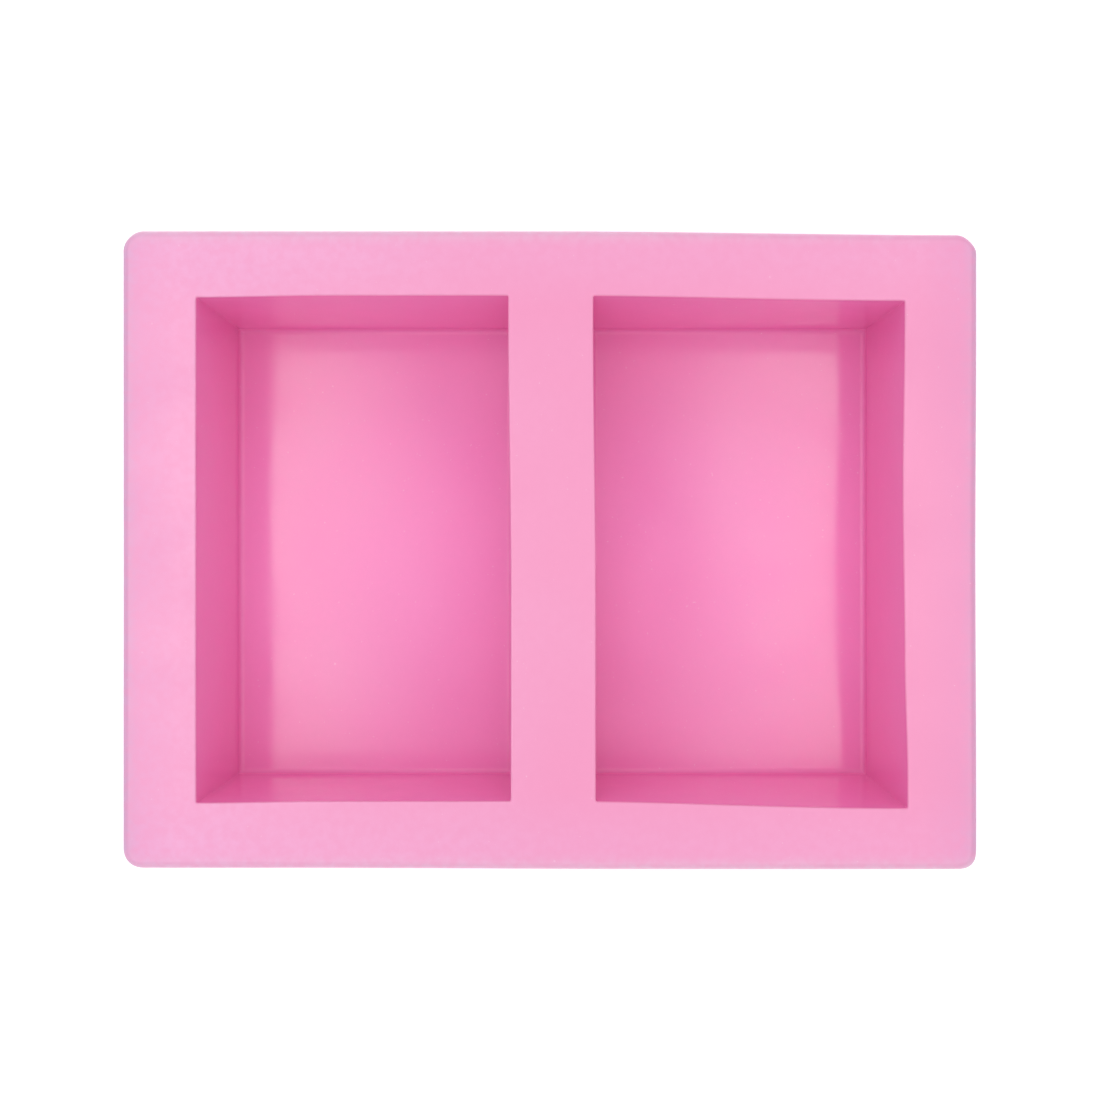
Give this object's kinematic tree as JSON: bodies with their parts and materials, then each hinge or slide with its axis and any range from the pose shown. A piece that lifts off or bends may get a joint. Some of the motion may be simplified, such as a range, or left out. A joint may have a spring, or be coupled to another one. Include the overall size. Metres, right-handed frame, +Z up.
{
  "type": "soap loaf mould",
  "caption": "Rectangular silicone rubber soap mould: open loaf cavities side by side in a flat rim, with a full-height outer skirt and flexible cups that release the cast bars.",
  "frame": {"origin": "centre of the base, on the surface that the mould stands on", "axes": "+Z up, out of the cavities' mouths; +X across the cavities, along the mould's longest side; +Y along the cavities, away from the viewer"},
  "size_m": [0.151, 0.113, 0.033],
  "materials": {
    "rim_silicone": "satin",
    "cavity_silicone": "gloss",
    "skirt_silicone": "matte"
  },
  "bodies": {
    "root": {"rim": "rim_silicone", "outer_skirt": "skirt_silicone", "left_cup": "cavity_silicone", "right_cup": "cavity_silicone", "centre_web_front": "skirt_silicone", "centre_web_middle": "skirt_silicone", "centre_web_rear": "skirt_silicone", "left_web_front": "skirt_silicone", "left_web_rear": "skirt_silicone", "right_web_front": "skirt_silicone", "right_web_rear": "skirt_silicone", "front_web_left": "skirt_silicone", "front_web_right": "skirt_silicone", "rear_web_left": "skirt_silicone", "rear_web_right": "skirt_silicone"}
  },
  "joints": []
}
